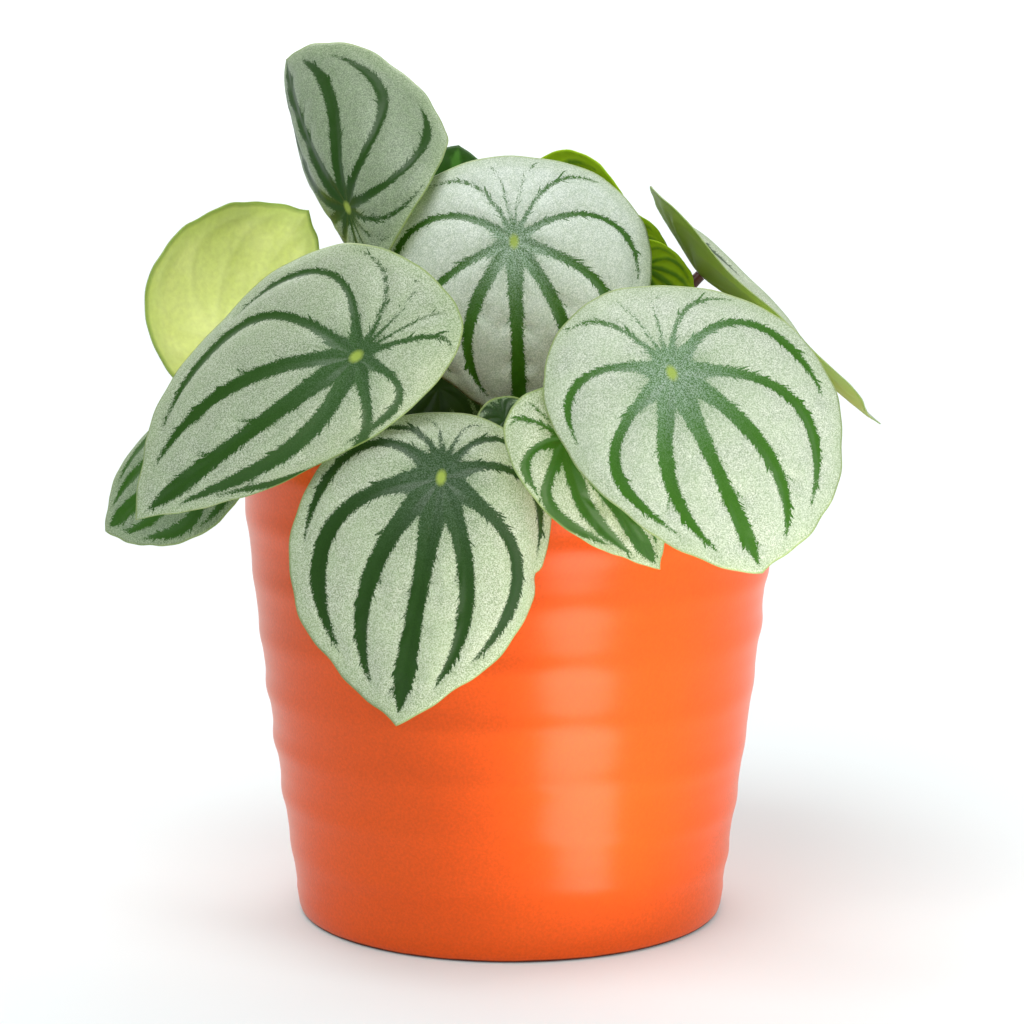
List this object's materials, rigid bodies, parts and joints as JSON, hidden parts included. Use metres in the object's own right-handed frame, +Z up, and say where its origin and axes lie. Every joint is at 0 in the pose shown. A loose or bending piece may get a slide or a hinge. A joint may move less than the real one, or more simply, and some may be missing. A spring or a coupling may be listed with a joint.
{
  "type": "potted peperomia plant",
  "caption": "Bushy foliage plant with silver-banded shield leaves on red stalks, in a tapered round ceramic pot.",
  "frame": {"origin": "middle of the pot's foot, on the surface that it stands on", "axes": "+Z up along the pot's axis, -Y to the front, where the three large drooping leaves hang over the rim"},
  "size_m": [0.2004, 0.189, 0.2266],
  "materials": {
    "orange_glaze": "satin",
    "potting_mix": "matte",
    "red_petiole": "satin",
    "silver_leaf": "satin",
    "lime_leaf": "satin"
  },
  "bodies": {
    "root": {"pot": "orange_glaze", "potting_mix": "potting_mix", "crown_left": "red_petiole", "crown_right": "red_petiole", "crown_back": "red_petiole", "leaf_top_middle": "silver_leaf", "leaf_front_right": "silver_leaf", "leaf_front_middle": "silver_leaf", "leaf_front_left": "silver_leaf", "leaf_upright": "silver_leaf", "leaf_lime_left": "lime_leaf", "leaf_low_left": "silver_leaf", "leaf_front_narrow": "silver_leaf", "leaf_right_edge": "silver_leaf", "leaf_lime_top": "lime_leaf", "leaf_young_upper": "lime_leaf", "leaf_young_lower": "lime_leaf", "leaf_dark_top": "lime_leaf", "leaf_young_front": "lime_leaf", "leaf_sprout": "silver_leaf", "leaf_inner_left": "silver_leaf", "leaf_inner_middle": "silver_leaf", "leaf_inner_right": "silver_leaf", "leaf_back_right": "silver_leaf", "leaf_back_middle_right": "silver_leaf", "leaf_back_middle": "silver_leaf", "leaf_back_left": "silver_leaf", "leaf_side_left": "silver_leaf", "leaf_side_right": "silver_leaf", "leaf_low_back_right": "silver_leaf", "leaf_low_back_left": "silver_leaf"}
  },
  "joints": []
}
